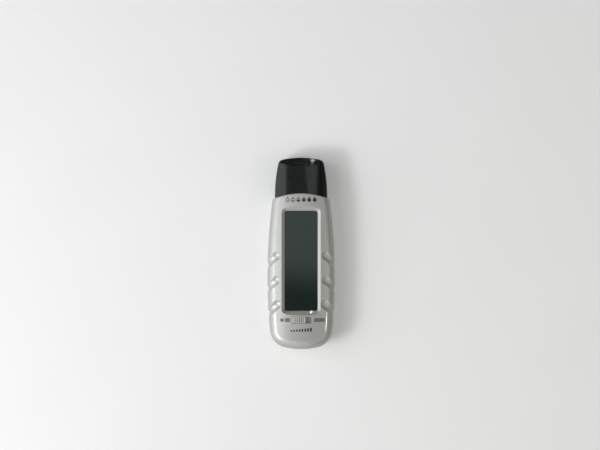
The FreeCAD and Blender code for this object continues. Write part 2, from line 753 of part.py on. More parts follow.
def make_window_lens():
    return plate(
        WINDOW_WIDTH - 2 * SEAT_GAP,
        WINDOW_LENGTH - 2 * SEAT_GAP,
        WINDOW_CORNER - SEAT_GAP,
        (0, WINDOW_Y),
        (LENS_FACE_Z - LENS_THICKNESS, LENS_FACE_Z),
    )


def make_display():
    film = 2 * POLARISER_MARGIN
    upper_top = UPPER_GLASS_Z + GLASS_THICKNESS
    return {
        "lcd_front_polariser": centred_sheet(
            UPPER_GLASS_WIDTH - film, GLASS_LENGTH - film, (upper_top, DISPLAY_TOP_Z)
        ),
        "lcd_upper_glass": centred_sheet(
            UPPER_GLASS_WIDTH, GLASS_LENGTH, (UPPER_GLASS_Z, upper_top)
        ),
        "lcd_lower_glass": centred_sheet(
            LOWER_GLASS_WIDTH, GLASS_LENGTH, (LOWER_GLASS_Z, UPPER_GLASS_Z)
        ),
        "lcd_rear_polariser": centred_sheet(
            LOWER_GLASS_WIDTH - film, GLASS_LENGTH - film, (DISPLAY_BOTTOM_Z, LOWER_GLASS_Z)
        ),
    }


def make_lcd_holder():
    """A tray on the board: a rim round the glass, and a floor under it between the strips."""
    rim_width = UPPER_GLASS_WIDTH + 2 * (SEAT_GAP + HOLDER_WALL)
    rim_length = GLASS_LENGTH + 2 * (SEAT_GAP + HOLDER_WALL)
    rim = centred_sheet(rim_width, rim_length, (BOARD_TOP_Z, UPPER_GLASS_Z + GLASS_THICKNESS))
    room = centred_sheet(
        UPPER_GLASS_WIDTH + 2 * SEAT_GAP, GLASS_LENGTH + 2 * SEAT_GAP, (0, BODY_DEPTH)
    )
    floor = centred_sheet(
        LOWER_GLASS_WIDTH,
        GLASS_LENGTH + 2 * SEAT_GAP + HOLDER_WALL,
        (BOARD_TOP_Z, DISPLAY_BOTTOM_Z - HOLDER_FLOOR_GAP),
    )
    return joined([rim.cut(room), floor])


def make_zebra_strip(side):
    """A rubber strip that joins the display's ledge to the board."""
    middle = side * (LOWER_GLASS_WIDTH + UPPER_GLASS_WIDTH) / 4
    half = ZEBRA_LENGTH / 2
    return box(
        (middle - ZEBRA_WIDTH / 2, middle + ZEBRA_WIDTH / 2),
        (WINDOW_Y - half, WINDOW_Y + half),
        (BOARD_TOP_Z, UPPER_GLASS_Z),
    )


# ---- circuit board ---------------------------------------------------------------------
def terminal_places():
    return [
        ((count - 1.5) * TERMINAL_PITCH, SWITCH_Y + row * TERMINAL_ROW)
        for row in (-1, 1)
        for count in range(4)
    ]


def make_main_board():
    span_z = (BOARD_BOTTOM_Z, BOARD_TOP_Z)
    board = joined(
        [
            slab(BOARD_WIDTH / 2, BOARD_SHOULDER_Y, span_z),
            slab(BOARD_TONGUE_WIDTH / 2, BOARD_END_Y, span_z),
        ]
    )
    holes = [rod_z(BOARD_HOLE_RADIUS, p, span_z) for p in board_screw_places()]
    holes += [rod_z(TERMINAL_HOLE_RADIUS, p, span_z) for p in terminal_places()]
    return board.cut(holes)


def under_board(height):
    return BOARD_BOTTOM_Z - height, BOARD_BOTTOM_Z


def make_controller_chip():
    """The epoxy drop over the bare chip."""
    radius = (CHIP_RADIUS**2 + CHIP_HEIGHT**2) / (2 * CHIP_HEIGHT)
    ball = Part.makeSphere(radius, Vector(0, CHIP_Y, BOARD_BOTTOM_Z - CHIP_HEIGHT + radius))
    span = (CHIP_Y - CHIP_RADIUS, CHIP_Y + CHIP_RADIUS)
    return ball.common(slab(CHIP_RADIUS, span, under_board(CHIP_HEIGHT)))


def make_amplifier_chip():
    width, length, height = AMPLIFIER_SIZE
    x, y = AMPLIFIER_PLACE
    body = box((x - width / 2, x + width / 2), (y - length / 2, y + length / 2), under_board(height))
    legs = []
    for count in range(AMPLIFIER_LEGS):
        leg_x = x + (count - (AMPLIFIER_LEGS - 1) / 2) * LEG_PITCH
        span_x = (leg_x - LEG_WIDTH / 2, leg_x + LEG_WIDTH / 2)
        span_y = (y - length / 2 - LEG_REACH, y + length / 2 + LEG_REACH)
        legs.append(box(span_x, span_y, under_board(LEG_HEIGHT)))
    return joined([body, *legs])


def make_trimmers():
    half = TRIMMER_SIZE / 2
    solids = []
    for x, y in TRIMMER_PLACES:
        body = box((x - half, x + half), (y - half, y + half), under_board(TRIMMER_HEIGHT))
        low = BOARD_BOTTOM_Z - TRIMMER_HEIGHT
        dish = rod_z(TRIMMER_SCREW_RADIUS, (x, y), (low, low + TRIMMER_SLOT))
        blade = box(
            (x - TRIMMER_SCREW_RADIUS, x + TRIMMER_SCREW_RADIUS),
            (y - TRIMMER_SLOT / 2, y + TRIMMER_SLOT / 2),
            (low, low + 2 * TRIMMER_SLOT),
        )
        solids.append(body.cut([dish, blade]))
    return Part.makeCompound(solids)


def make_crystal():
    x, y = CRYSTAL_PLACE
    half = CRYSTAL_LENGTH / 2
    z = BOARD_BOTTOM_Z - CRYSTAL_RADIUS
    can = Part.makeCylinder(
        CRYSTAL_RADIUS, CRYSTAL_LENGTH, Vector(x - half, y, z), Vector(1, 0, 0)
    )
    return can.makeFillet(CAPACITOR_ROUND, [e for e in can.Edges if e.Closed])


def make_capacitor():
    can = rod_z(CAPACITOR_RADIUS, CAPACITOR_PLACE, under_board(CAPACITOR_HEIGHT))
    rims = [e for e in can.Edges if e.Closed]
    return can.makeFillet(CAPACITOR_ROUND, rims)


def chip_row(size, row):
    first_x, y, pitch, count = row
    width, length, height = size
    places = [first_x + pitch * number for number in range(count)]
    return Part.makeCompound(
        [
            box((x - width / 2, x + width / 2), (y - length / 2, y + length / 2), under_board(height))
            for x in places
        ]
    )


# ---- slide switch ----------------------------------------------------------------------
def knob_x():
    """The knob's middle at rest, at the left end of its slot."""
    return -SWITCH_TRAVEL / 2


def knob_length():
    return SWITCH_SLOT_LENGTH - SWITCH_TRAVEL - 2 * KNOB_GAP


def make_switch_knob():
    knob = plate(
        knob_length(),
        SWITCH_SLOT_WIDTH - 2 * KNOB_GAP,
        SWITCH_SLOT_CORNER - KNOB_GAP,
        (knob_x(), SWITCH_Y),
        (SWITCH_FRAME_TOP_Z + SEAT_GAP, BODY_DEPTH),
    )
    crown = crown_cylinder(
        CROWN_RADIUS, BODY_DEPTH - KNOB_SINK, (-OVERALL_LENGTH, OVERALL_LENGTH)
    )
    knob = knob.common(crown)
    for count in range(KNOB_RIBS):
        x = knob_x() + (count - (KNOB_RIBS - 1) / 2) * KNOB_RIB_PITCH
        top = BODY_DEPTH - KNOB_SINK
        cut = plate(
            KNOB_RIB_WIDTH,
            SWITCH_SLOT_WIDTH - 2 * (KNOB_GAP + KNOB_RIB_MARGIN),
            KNOB_RIB_WIDTH / 2 - PILOT_GAP,
            (x, SWITCH_Y),
            (top - KNOB_RIB_DEPTH, top + KNOB_RIB_DEPTH),
        )
        knob = knob.cut(cut)
    return knob.cut(switch_stem(SEAT_GAP / 2))


def switch_stem(clearance):
    top_z = SWITCH_FRAME_TOP_Z + STEM_REACH + clearance
    return box(
        (knob_x() - STEM_LENGTH / 2 - clearance, knob_x() + STEM_LENGTH / 2 + clearance),
        (SWITCH_Y - STEM_WIDTH / 2 - clearance, SWITCH_Y + STEM_WIDTH / 2 + clearance),
        (slider_span()[1], top_z),
    )


def slider_span():
    top = SWITCH_FRAME_TOP_Z - SWITCH_FRAME_SHEET - SEAT_GAP
    return top - SLIDER_HEIGHT, top


def make_switch_slider():
    block = box(
        (knob_x() - SLIDER_LENGTH / 2, knob_x() + SLIDER_LENGTH / 2),
        (SWITCH_Y - SLIDER_WIDTH / 2, SWITCH_Y + SLIDER_WIDTH / 2),
        slider_span(),
    )
    return joined([block, switch_stem(0)])


def make_switch_frame():
    """A folded steel box over the slider, open below, with a slot for the stem."""
    half_width = SWITCH_FRAME_WIDTH / 2
    low_z = BOARD_TOP_Z + SWITCH_BASE_HEIGHT
    span_y = (SWITCH_Y - half_width, SWITCH_Y + half_width)
    shell = slab(SWITCH_FRAME_LENGTH / 2, span_y, (low_z, SWITCH_FRAME_TOP_Z))
    sheet = SWITCH_FRAME_SHEET
    room = slab(
        SWITCH_FRAME_LENGTH / 2 - sheet,
        (span_y[0] + sheet, span_y[1] - sheet),
        (low_z, SWITCH_FRAME_TOP_Z - sheet),
    )
    slot = slab(
        (STEM_LENGTH + SWITCH_TRAVEL) / 2 + KNOB_GAP,
        (SWITCH_Y - STEM_WIDTH / 2 - KNOB_GAP, SWITCH_Y + STEM_WIDTH / 2 + KNOB_GAP),
        (low_z, SWITCH_FRAME_TOP_Z),
    )
    return shell.cut([room, slot])


def make_switch_base():
    """The insulating block that the frame clasps, with a pad up to the slider."""
    half_width = SWITCH_FRAME_WIDTH / 2
    sheet = SWITCH_FRAME_SHEET
    foot = slab(
        SWITCH_FRAME_LENGTH / 2,
        (SWITCH_Y - half_width, SWITCH_Y + half_width),
        (BOARD_TOP_Z, BOARD_TOP_Z + SWITCH_BASE_HEIGHT),
    )
    pad = slab(
        SWITCH_FRAME_LENGTH / 2 - sheet - SEAT_GAP,
        (SWITCH_Y - half_width + sheet + SEAT_GAP, SWITCH_Y + half_width - sheet - SEAT_GAP),
        (BOARD_TOP_Z, slider_span()[0] - SEAT_GAP),
    )
    holes = [
        rod_z(TERMINAL_HOLE_RADIUS, p, (BOARD_TOP_Z, BOARD_TOP_Z + SWITCH_BASE_HEIGHT))
        for p in terminal_places()
    ]
    return joined([foot, pad]).cut(holes)


def make_switch_terminals():
    half = TERMINAL_SIZE / 2
    span_z = (BOARD_BOTTOM_Z - TERMINAL_DROP, BOARD_TOP_Z + SWITCH_BASE_HEIGHT)
    return Part.makeCompound(
        [box((x - half, x + half), (y - half, y + half), span_z) for x, y in terminal_places()]
    )


# ---- batteries and contacts ------------------------------------------------------------
def make_battery(side):
    """One cell. The left one has its positive nub at high Y, the right one at low Y."""
    body = rod_y(CELL_RADIUS, 0, 0, (0, CELL_LENGTH - CELL_NUB_HEIGHT))
    body = body.makeFillet(CELL_END_ROUND, [e for e in body.Edges if e.Closed])
    nub = rod_y(CELL_NUB_RADIUS, 0, 0, (CELL_LENGTH - 2 * CELL_NUB_HEIGHT, CELL_LENGTH))
    cell = joined([body, nub])
    if side < 0:
        cell.translate(Vector(-CELL_X, BAY_HIGH_Y - CONTACT_SHEET - CELL_LENGTH, CELL_Z))
        return cell
    cell.rotate(Vector(0, 0, 0), Vector(0, 0, 1), 180)
    cell.translate(Vector(CELL_X, BAY_LOW_Y + CONTACT_SHEET + CELL_LENGTH, CELL_Z))
    return cell


def make_battery_spring(side):
    """A cone of round wire between a contact sheet and a cell's flat end."""
    climb = SPRING_LENGTH - 2 * SPRING_WIRE_RADIUS
    angle = math.degrees(math.atan((SPRING_BASE_RADIUS - SPRING_TIP_RADIUS) / climb))
    helix = Part.makeHelix(climb / SPRING_TURNS, climb, SPRING_TIP_RADIUS, angle)
    start = helix.Edges[0].valueAt(helix.Edges[0].FirstParameter)
    heading = helix.Edges[0].tangentAt(helix.Edges[0].FirstParameter)
    ring = Part.Wire(Part.makeCircle(SPRING_WIRE_RADIUS, start, heading))
    coil = Part.Wire(helix.Edges).makePipeShell([ring], True, True)
    coil.rotate(Vector(0, 0, 0), Vector(1, 0, 0), -90)
    reach_y = CONTACT_SHEET + SPRING_LENGTH - SPRING_WIRE_RADIUS
    if side < 0:
        coil.rotate(Vector(0, 0, 0), Vector(0, 0, 1), 180)
        coil.translate(Vector(-CELL_X, BAY_LOW_Y + reach_y, CELL_Z))
        return coil
    coil.translate(Vector(CELL_X, BAY_HIGH_Y - reach_y, CELL_Z))
    return coil


def contact_face(x_span, y_span):
    return box(x_span, y_span, (CONTACT_LOW_Z, BAY_ROOF_Z - SEAT_GAP))


def make_link_contact():
    """The sheet at the bay's low end that joins the two cells in series."""
    half = CELL_X + CONTACT_HALF_WIDTH
    return contact_face((-half, half), (BAY_LOW_Y, BAY_LOW_Y + CONTACT_SHEET))


def make_terminal_contact(side):
    """A sheet at the bay's high end, with a tail through the roof and a foot on the board."""
    middle = side * CELL_X
    span_y = (BAY_HIGH_Y - CONTACT_SHEET, BAY_HIGH_Y)
    span_x = (middle - CONTACT_HALF_WIDTH, middle + CONTACT_HALF_WIDTH)
    tail_x = (middle - TAIL_WIDTH / 2, middle + TAIL_WIDTH / 2)
    top = BOARD_BOTTOM_Z - TAIL_BOARD_GAP
    tail = box(tail_x, span_y, (CELL_Z, top))
    foot = box(tail_x, (span_y[0], span_y[0] + TAIL_FOOT), (top - CONTACT_SHEET, top))
    return joined([contact_face(span_x, span_y), tail, foot])


# ---- cap -------------------------------------------------------------------------------
def sloped(shape, height_z, slope, sign):
    """Tilts a form about the line across X at the case's head arc, at a given height."""
    shape.rotate(Vector(0, HEAD_ARC_Y, height_z), Vector(1, 0, 0), sign * math.degrees(slope))
    return shape


def cap_form(inset):
    """The closed form of the cap, drawn in by inset, from behind the case's head end."""
    side_centre = (CAP_HALF_WIDTH - CAP_SIDE_RADIUS, CAP_STRAIGHT_Y)
    tip_centre = (0, CAP_TIP_Y - CAP_TIP_RADIUS)
    corner = blended_arcs(
        side_centre, CAP_SIDE_RADIUS, tip_centre, CAP_TIP_RADIUS, CAP_TIP_CORNER, 1, inset
    )
    face = outline_face(
        side_centre, CAP_SIDE_RADIUS - inset, corner, CAP_TIP_Y - inset, CAP_BLANK_Y
    )
    blank = face.extrude(Vector(0, 0, BODY_DEPTH))
    front_z = BODY_DEPTH - CAP_FRONT_DROP - inset
    back_z = CAP_BACK_RISE + inset
    reach_y = (-OVERALL_LENGTH, OVERALL_LENGTH)
    front = sloped(
        crown_cylinder(CAP_CROWN_RADIUS - inset, front_z, reach_y), front_z, CAP_FRONT_SLOPE, -1
    )
    back = slab(BODY_WIDTH, reach_y, (back_z, back_z + 3 * BODY_DEPTH))
    back = sloped(back, back_z, CAP_BACK_SLOPE, 1)
    form = blank.common(front).common(back)
    front_edges = rim_edges(form, CAP_BLANK_Y, (BODY_DEPTH / 2, 2 * BODY_DEPTH))
    form = form.makeFillet(CAP_FRONT_EDGE_RADIUS - inset, front_edges)
    back_edges = rim_edges(form, CAP_BLANK_Y, (0, BODY_DEPTH / 2))
    return form.makeFillet(CAP_BACK_EDGE_RADIUS - inset, back_edges)


def facet_cut(inset):
    """The space above the sloping facet at the cap's tip."""
    start_y = CAP_TIP_Y - CAP_FACET_LENGTH
    start_z = BODY_DEPTH - CAP_FRONT_DROP - (start_y - HEAD_ARC_Y) * math.tan(CAP_FRONT_SLOPE)
    span_y = (start_y - BODY_DEPTH, start_y + 2 * BODY_DEPTH)
    block = slab(BODY_WIDTH, span_y, (start_z, 3 * BODY_DEPTH))
    block.rotate(Vector(0, start_y, start_z), Vector(1, 0, 0), -math.degrees(CAP_FACET_ANGLE))
    drop = Vector(0, -math.sin(CAP_FACET_ANGLE), -math.cos(CAP_FACET_ANGLE))
    block.translate(drop * inset)
    return block


def make_pin_cap():
    outer = cap_form(0).cut(facet_cut(0))
    creases = [edge for face in outer.Faces if is_facet(face) for edge in face.Edges]
    outer = outer.makeFillet(CAP_FACET_ROUND, creases)
    outer = outer.common(beyond_head_arc(-SLIDE_GAP))
    return outer.cut(cap_hollow())


def is_facet(face):
    surface = face.Surface
    if not isinstance(surface, Part.Plane):
        return False
    normal = face.normalAt(0, 0)
    return normal.z > math.sin(CAP_FACET_ANGLE) / 2 and normal.y > math.sin(CAP_FACET_ANGLE) / 2


def cap_hollow():
    hollow = cap_form(CAP_WALL).cut(facet_cut(CAP_WALL))
    return hollow.common(slab(BODY_WIDTH, (CAP_BLANK_Y, CAP_TIP_Y - CAP_TIP_WALL), (0, BODY_DEPTH)))


# ---- pin head and pins -----------------------------------------------------------------
def make_pin_head():
    """The insulating block that carries the pins: a flange inside the case, a neck
    through its end wall and a nose that the cap slides over."""
    nose = cap_form(CAP_WALL + SLIDE_GAP).common(beyond_head_arc(-HEAD_CASE_GAP))
    nose = nose.common(slab(BODY_WIDTH, (CAP_BLANK_Y, HEAD_FACE_Y), (0, BODY_DEPTH)))
    face_edges = [e for e in nose.Edges if e.BoundBox.YMin > HEAD_FACE_Y - SEAT_GAP]
    nose = nose.makeFillet(HEAD_FACE_ROUND, face_edges)
    neck_top = HEAD_ARC_Y + HEAD_LINK
    neck = slab(HEAD_NECK_HALF_WIDTH, (HEAD_FLANGE_Y[0], neck_top), HEAD_NECK_Z)
    flange = slab(HEAD_FLANGE_HALF_WIDTH, HEAD_FLANGE_Y, HEAD_FLANGE_Z)
    bores = []
    for side in (-1, 1):
        x = side * PIN_X
        bores.append(rod_y(BUSH_RADIUS + PILOT_GAP, x, PIN_Z, (HEAD_FACE_Y - BUSH_LENGTH, CAP_TIP_Y)))
        bores.append(rod_y(STUD_RADIUS + PILOT_GAP, x, PIN_Z, (0, HEAD_FACE_Y)))
    return joined([nose, neck, flange]).cut(bores)


def make_pin_bush(side):
    """A brass bush let into the nose, with a threaded stud that comes out inside the case."""
    x = side * PIN_X
    bush = rod_y(BUSH_RADIUS, x, PIN_Z, (HEAD_FACE_Y - BUSH_LENGTH, HEAD_FACE_Y))
    pitch = BUSH_LENGTH / (BUSH_GROOVES + 1)
    grooves = []
    for count in range(1, BUSH_GROOVES + 1):
        y = HEAD_FACE_Y - count * pitch
        span = (y - BUSH_GROOVE, y + BUSH_GROOVE)
        ring = rod_y(BUSH_RADIUS + 1, x, PIN_Z, span).cut(
            rod_y(BUSH_RADIUS - BUSH_GROOVE, x, PIN_Z, span)
        )
        grooves.append(ring)
    stud = rod_y(STUD_RADIUS, x, PIN_Z, (STUD_BACK_Y, HEAD_FACE_Y - BUSH_LENGTH + 1))
    bore_span = (HEAD_FACE_Y - PIN_THREAD_LENGTH - SEAT_GAP, HEAD_FACE_Y)
    bore = rod_y(PIN_THREAD_RADIUS + PILOT_GAP, x, PIN_Z, bore_span)
    return joined([bush.cut(grooves), stud]).cut(bore)


def make_electrode_pin(side):
    """A hardened steel pin: a threaded root, a fluted collar and a pointed needle."""
    x = side * PIN_X
    root = rod_y(PIN_THREAD_RADIUS, x, PIN_Z, (HEAD_FACE_Y - PIN_THREAD_LENGTH, HEAD_FACE_Y + 1))
    collar_end = HEAD_FACE_Y + PIN_COLLAR_LENGTH
    collar = rod_y(PIN_COLLAR_RADIUS, x, PIN_Z, (HEAD_FACE_Y, collar_end))
    flutes = []
    for count in range(PIN_FLUTES):
        angle = 2 * math.pi * count / PIN_FLUTES
        flute_x = x + PIN_COLLAR_RADIUS * math.cos(angle)
        flute_z = PIN_Z + PIN_COLLAR_RADIUS * math.sin(angle)
        span = (HEAD_FACE_Y + PILOT_GAP, collar_end)
        flutes.append(rod_y(PIN_FLUTE_RADIUS, flute_x, flute_z, span))
    point_y = collar_end + NEEDLE_LENGTH - NEEDLE_POINT
    shank = rod_y(NEEDLE_RADIUS, x, PIN_Z, (HEAD_FACE_Y, point_y))
    point = Part.makeCone(
        NEEDLE_RADIUS, NEEDLE_TIP_RADIUS, NEEDLE_POINT, Vector(x, point_y, PIN_Z), Vector(0, 1, 0)
    )
    return joined([root, collar.cut(flutes), shank, point])


def make_pin_tag(side):
    """A tinned strip clamped on the stud, folded over the board's end to its pad."""
    x = side * PIN_X
    half = TAG_WIDTH / 2
    span_x = (x - half, x + half)
    span_y = (HEAD_FLANGE_Y[0] - TAG_SHEET, HEAD_FLANGE_Y[0])
    top = BOARD_TOP_Z + TAG_SHEET
    upright = box(span_x, span_y, (PIN_Z - half, top))
    foot = box(span_x, (span_y[0] - TAG_FOOT, span_y[1]), (BOARD_TOP_Z, top))
    hole = rod_y(STUD_RADIUS + PILOT_GAP, x, PIN_Z, span_y)
    return joined([upright, foot]).cut(hole)


def make_pin_nuts():
    solids = []
    low = HEAD_FLANGE_Y[0] - TAG_SHEET - NUT_THICKNESS
    radius = NUT_FLATS / 2 / math.cos(math.radians(30))
    for side in (-1, 1):
        x = side * PIN_X
        corners = [
            Vector(x + radius * math.cos(a), low, PIN_Z + radius * math.sin(a))
            for a in (math.radians(60 * count) for count in range(7))
        ]
        hexagon = Part.Face(Part.makePolygon(corners)).extrude(Vector(0, NUT_THICKNESS, 0))
        bore = rod_y(STUD_RADIUS + PILOT_GAP, x, PIN_Z, (low, low + NUT_THICKNESS))
        solids.append(hexagon.cut(bore))
    return Part.makeCompound(solids)


# ---- screws ----------------------------------------------------------------------------
def cross_recess(radius, depth, place, low_z):
    """The cross in a screw head that faces down."""
    x, y = place
    span_z = (low_z, low_z + depth)
    arms = []
    for half_x, half_y in ((radius, radius / 3), (radius / 3, radius)):
        arms.append(box((x - half_x, x + half_x), (y - half_y, y + half_y), span_z))
    return arms


def pan_screw(place, seat_z, head_radius, head_height, radius, length):
    """A screw that goes up from its seat, with its domed head below it."""
    low = seat_z - head_height
    head = rod_z(head_radius, place, (low, seat_z))
    rim = [e for e in head.Edges if e.Closed and e.BoundBox.ZMax < low + SEAT_GAP]
    head = head.makeFillet(head_height / 2, rim)
    recess = cross_recess(head_radius * CROSS_SHARE, head_height * CROSS_SHARE, place, low)
    head = head.cut(recess)
    return joined([head, rod_z(radius, place, (seat_z, seat_z + length))])


def make_case_screws():
    return Part.makeCompound(
        [
            pan_screw(
                place,
                CASE_SCREW_SEAT_Z,
                CASE_SCREW_HEAD_RADIUS,
                CASE_SCREW_HEAD_HEIGHT,
                CASE_SCREW_RADIUS,
                CASE_SCREW_LENGTH,
            )
            for place in case_screw_places()
        ]
    )


def make_board_screws():
    return Part.makeCompound(
        [
            pan_screw(
                place,
                BOARD_BOTTOM_Z,
                BOARD_SCREW_HEAD_RADIUS,
                BOARD_SCREW_HEAD_HEIGHT,
                BOARD_SCREW_RADIUS,
                BOARD_SCREW_LENGTH,
            )
            for place in board_screw_places()
        ]
    )


# ---- the whole meter -------------------------------------------------------------------
def make_all():
    outside = case_outside()
    inside = case_form(WALL)
    nodes = {
        "front_case": make_front_case(outside, inside),
        "back_case": make_back_case(outside, inside),
        "battery_door": make_battery_door(),
        "window_lens": make_window_lens(),
        **make_display(),
        "lcd_holder": make_lcd_holder(),
        "zebra_strip_left": make_zebra_strip(-1),
        "zebra_strip_right": make_zebra_strip(1),
        "main_board": make_main_board(),
        "controller_chip": make_controller_chip(),
        "amplifier_chip": make_amplifier_chip(),
        "trimmers": make_trimmers(),
        "crystal": make_crystal(),
        "capacitor": make_capacitor(),
        "chip_resistors": chip_row(CHIP_RESISTOR_SIZE, RESISTOR_ROW),
        "ceramic_capacitors": chip_row(CERAMIC_SIZE, CERAMIC_ROW),
        "switch_knob": make_switch_knob(),
        "switch_slider": make_switch_slider(),
        "switch_frame": make_switch_frame(),
        "switch_base": make_switch_base(),
        "switch_terminals": make_switch_terminals(),
        "battery_left": make_battery(-1),
        "battery_right": make_battery(1),
        "battery_spring_left": make_battery_spring(-1),
        "battery_spring_right": make_battery_spring(1),
        "battery_link_contact": make_link_contact(),
        "battery_contact_left": make_terminal_contact(-1),
        "battery_contact_right": make_terminal_contact(1),
        "pin_cap": make_pin_cap(),
        "pin_head": make_pin_head(),
        "pin_bush_left": make_pin_bush(-1),
        "pin_bush_right": make_pin_bush(1),
        "electrode_pin_left": make_electrode_pin(-1),
        "electrode_pin_right": make_electrode_pin(1),
        "pin_tag_left": make_pin_tag(-1),
        "pin_tag_right": make_pin_tag(1),
        "pin_nuts": make_pin_nuts(),
        "case_screws": make_case_screws(),
        "board_screws": make_board_screws(),
    }
    return nodes


def main():
    os.makedirs("parts", exist_ok=True)
    for name, shape in make_all().items():
        solids = len(shape.Solids)
        print(f"{name:24s} solids {solids} valid {shape.isValid()} volume {shape.Volume:.1f}")
        shape.exportStep(f"parts/{name}.step")


main()
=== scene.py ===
import math

import bmesh
import bpy
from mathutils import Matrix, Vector


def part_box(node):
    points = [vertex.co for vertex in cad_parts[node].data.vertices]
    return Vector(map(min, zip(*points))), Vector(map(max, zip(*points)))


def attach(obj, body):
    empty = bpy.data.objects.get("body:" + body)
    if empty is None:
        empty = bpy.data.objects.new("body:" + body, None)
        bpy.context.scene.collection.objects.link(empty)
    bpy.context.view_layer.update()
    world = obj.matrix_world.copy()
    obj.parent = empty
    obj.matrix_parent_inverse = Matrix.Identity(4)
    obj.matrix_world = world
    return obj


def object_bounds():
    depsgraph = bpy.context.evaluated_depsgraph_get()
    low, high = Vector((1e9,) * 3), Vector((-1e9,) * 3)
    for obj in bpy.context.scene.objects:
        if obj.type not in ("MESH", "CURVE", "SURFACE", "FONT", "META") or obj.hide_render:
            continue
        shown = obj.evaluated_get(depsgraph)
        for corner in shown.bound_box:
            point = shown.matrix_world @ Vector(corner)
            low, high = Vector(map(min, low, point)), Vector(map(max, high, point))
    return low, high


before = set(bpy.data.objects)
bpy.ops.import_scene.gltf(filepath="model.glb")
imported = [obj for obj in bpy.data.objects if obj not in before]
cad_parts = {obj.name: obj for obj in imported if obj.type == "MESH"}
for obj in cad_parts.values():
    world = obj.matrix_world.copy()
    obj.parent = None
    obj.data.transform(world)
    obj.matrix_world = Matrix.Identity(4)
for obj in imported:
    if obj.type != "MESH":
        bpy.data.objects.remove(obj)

# The looks of the moisture meter. Everything is in metres, in the CAD frame: the meter lies
# on its back, +Y points to the pins under the cap and +Z comes out of the display.

cad_low, cad_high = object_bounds()
MM = 0.001

# ---- places read from the frame ------------------------------------------------------------
LENS_LOW, LENS_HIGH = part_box("window_lens")
KNOB_LOW, KNOB_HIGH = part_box("switch_knob")
CELL_LOW, CELL_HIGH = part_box("battery_left")
CASE_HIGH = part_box("front_case")[1]
SWITCH_Y = (KNOB_LOW.y + KNOB_HIGH.y) / 2

# ---- the crown of the case, which the prints lie on ----------------------------------------
CROWN_RADIUS = 70 * MM
CROWN_TOP = CASE_HIGH.z

# ---- prints on the face --------------------------------------------------------------------
PRINT_LIFT = 0.006 * MM
PRINT_THICKNESS = 0.004 * MM
PRINT_STEP = 0.5 * MM               # the ink bends with the crown at every step
DROPS_Y = (LENS_HIGH.y + CASE_HIGH.y) / 2 + 2.0 * MM
LOG_X = -13.8 * MM
PLANK_X = -10.1 * MM
BRICKS_X = 13.4 * MM
BARS_Y = SWITCH_Y - 7.0 * MM
DROP_TAPER = 1.3                    # a larger power draws the drop's top out to a longer point
DROP_SWELL = 0.62                   # makes the drop about nine tenths as wide as its width says

# ---- black mask under the edge of the lens -------------------------------------------------
MASK_EDGE = 0.02 * MM               # from the lens's edge to the mask's
MASK_BORDER = 1.35 * MM             # from the lens's edge to its clear part
MASK_OUTER_CORNER = 1.5 * MM
MASK_INNER_CORNER = 0.7 * MM
MASK_LIFT = 0.02 * MM               # above the lens's underside
MASK_THICKNESS = 0.01 * MM

# ---- finishes ------------------------------------------------------------------------------
GROOVE_SHADE_FULL = 0.36 * MM              # under the ribs' tops, where the knob's painted shade is darkest
GROOVE_SHADE_END = 0.12 * MM               # under the ribs' tops, where the painted shade stops
SLEEVE_BAND = 0.28                  # share of a cell's length that its copper band takes
BRUSH_STRETCH = 0.03                # a brushed line's width over its length

# ---- camera --------------------------------------------------------------------------------
VIEW_WIDTH = 435.5 * MM             # what the picture's width takes in, near the case's face
VIEW_DEPTH = 8 * MM                 # how far below the face that width is measured
CAMERA_HEIGHT = 1000 * MM           # above the case's face
CAMERA_PLACE = Vector((-0.8 * MM, 20.6 * MM, CASE_HIGH.z + CAMERA_HEIGHT))
CAMERA_NEAREST = 10 * MM            # what is nearer isn't drawn
SENSOR_WIDTH = 36.0                 # in millimetres, as the camera's own unit

# ---- studio --------------------------------------------------------------------------------
WHITE = (1, 1, 1)
FLOOR_GAP = 0.05 * MM
FLOOR_REACH = 4.0
FLOOR_GLOW = 0.17                   # lifts the floor for the camera, and lights nothing
BACKDROP = 0.9                      # the room as the camera sees it, past or through the meter
ROOM_LIGHT = 0.16                   # the room as light on matt surfaces
ROOM_COLOUR = (0.93, 0.96, 1.0)
# how bright the studio's ceiling is in reflections, from its foot end to its head end
CEILING = (
    (-0.40, 1.1),
    (-0.22, 0.35),
    (-0.046, 0.22),
    (-0.027, 1.0),
    (0.03, 1.0),
    (0.06, 0.30),
    (0.5, 0.15),
)
# and how much of that is left from its left side to its right side
ACROSS = ((-0.75, 0.8), (-0.35, 1.0), (0.0, 1.0), (0.35, 0.3), (0.75, 0.15))
RAMP_SHARE = 0.5                    # a ramp holds this share of a brightness, to stay under 1
# each lamp's place, its two sides, its power in watts and its colour; the head lamp is the
# bright spot on the cap's tip, and the panel the pale patch across the cap
LAMPS = {
    "key": ((-1.20, -0.1, 0.78), (1.7, 2.1), 15.5, WHITE),
    "corner": ((-0.67, -0.27, 0.69), (0.36, 0.24), 3.0, WHITE),
    "fill": ((0.9, -0.3, 0.7), (1.1, 1.1), 1.3, (1.0, 0.89, 0.74)),
    "strip": ((0.63, -0.13, 0.79), (0.03, 0.10), 0.35, (1.0, 0.92, 0.78)),
    "head": ((0.016, 0.960, 0.134), (0.0025, 0.0025), 0.003, WHITE),
    "panel": ((0.195, 0.345, 1.20), (0.68, 0.24), 0.45, (0.92, 0.98, 1.0)),
}


